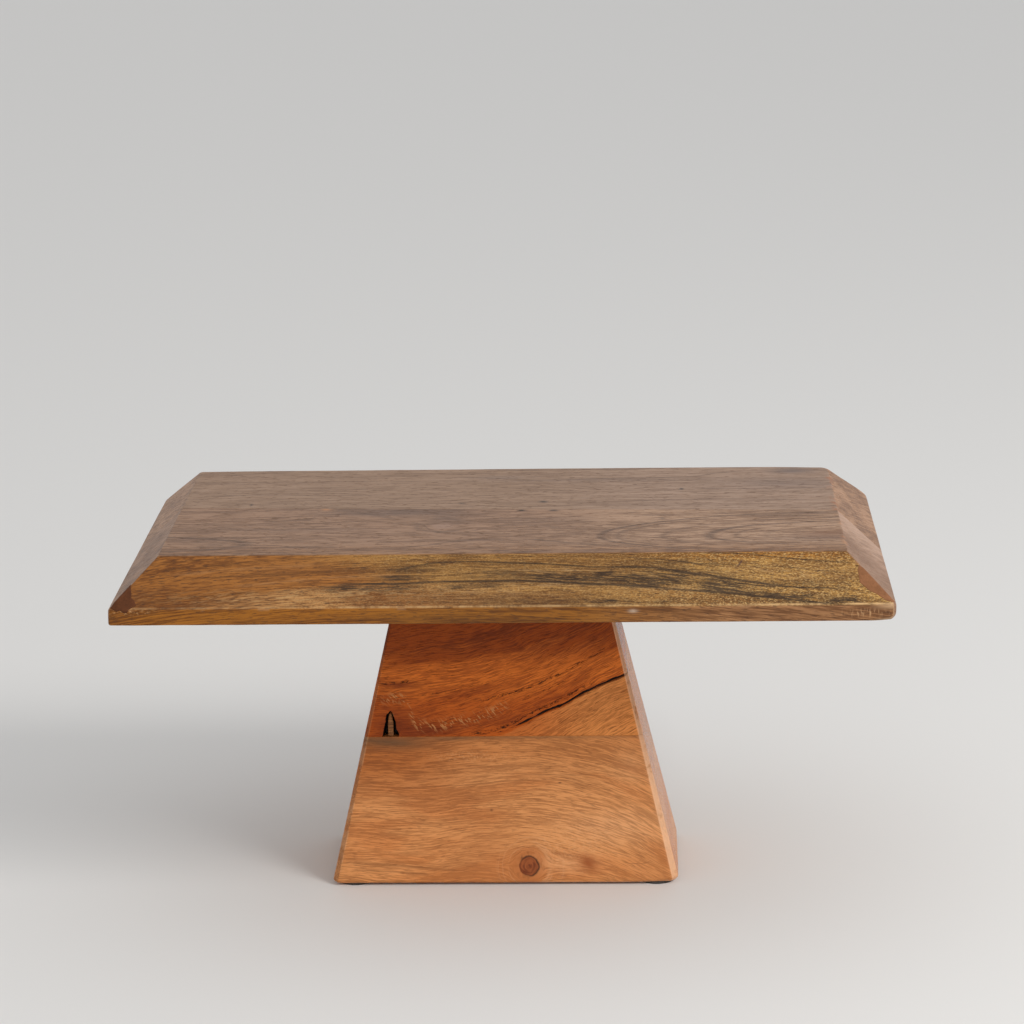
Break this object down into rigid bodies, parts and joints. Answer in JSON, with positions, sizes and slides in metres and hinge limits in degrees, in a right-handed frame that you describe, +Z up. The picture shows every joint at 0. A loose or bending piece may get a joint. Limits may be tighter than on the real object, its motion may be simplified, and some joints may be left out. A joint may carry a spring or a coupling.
{
  "type": "wooden cake stand",
  "caption": "Rectangular wooden cake stand: a bevelled serving slab on a tapered rectangular pedestal of stacked blocks, on thin felt pads.",
  "frame": {"origin": "on the floor, under the middle of the slab", "axes": "+Z up, +X along the slab's length, -Y towards the front"},
  "size_m": [0.4, 0.22, 0.2],
  "materials": {
    "front_board_wood": "satin oiled hardwood, pinkish brown top, olive and dark spalted streaks on the front bevel",
    "back_board_wood": "satin oiled hardwood, straight grain, olive brown",
    "upper_block_wood": "satin oiled hardwood, red brown, with a knot hole and a drying crack",
    "lower_block_wood": "satin oiled hardwood, orange tan, with a small tight knot",
    "dowel_wood": "raw beech, fluted",
    "filler_dark": "dark brown wood filler, matt",
    "filler_red": "red brown wood filler, matt",
    "felt": "dark brown felt"
  },
  "bodies": {
    "root": {"front_board": "front_board_wood", "back_board": "back_board_wood", "corner_filler_left": "filler_dark", "corner_filler_right": "filler_red", "pedestal_upper_block": "upper_block_wood", "pedestal_lower_block": "lower_block_wood", "post_dowel_front_left": "dowel_wood", "post_dowel_front_right": "dowel_wood", "post_dowel_back_left": "dowel_wood", "post_dowel_back_right": "dowel_wood", "block_dowel_left": "dowel_wood", "block_dowel_right": "dowel_wood", "board_dowel_left": "dowel_wood", "board_dowel_middle": "dowel_wood", "board_dowel_right": "dowel_wood", "felt_pad_front_left": "felt", "felt_pad_front_right": "felt", "felt_pad_back_left": "felt", "felt_pad_back_right": "felt"}
  },
  "joints": []
}
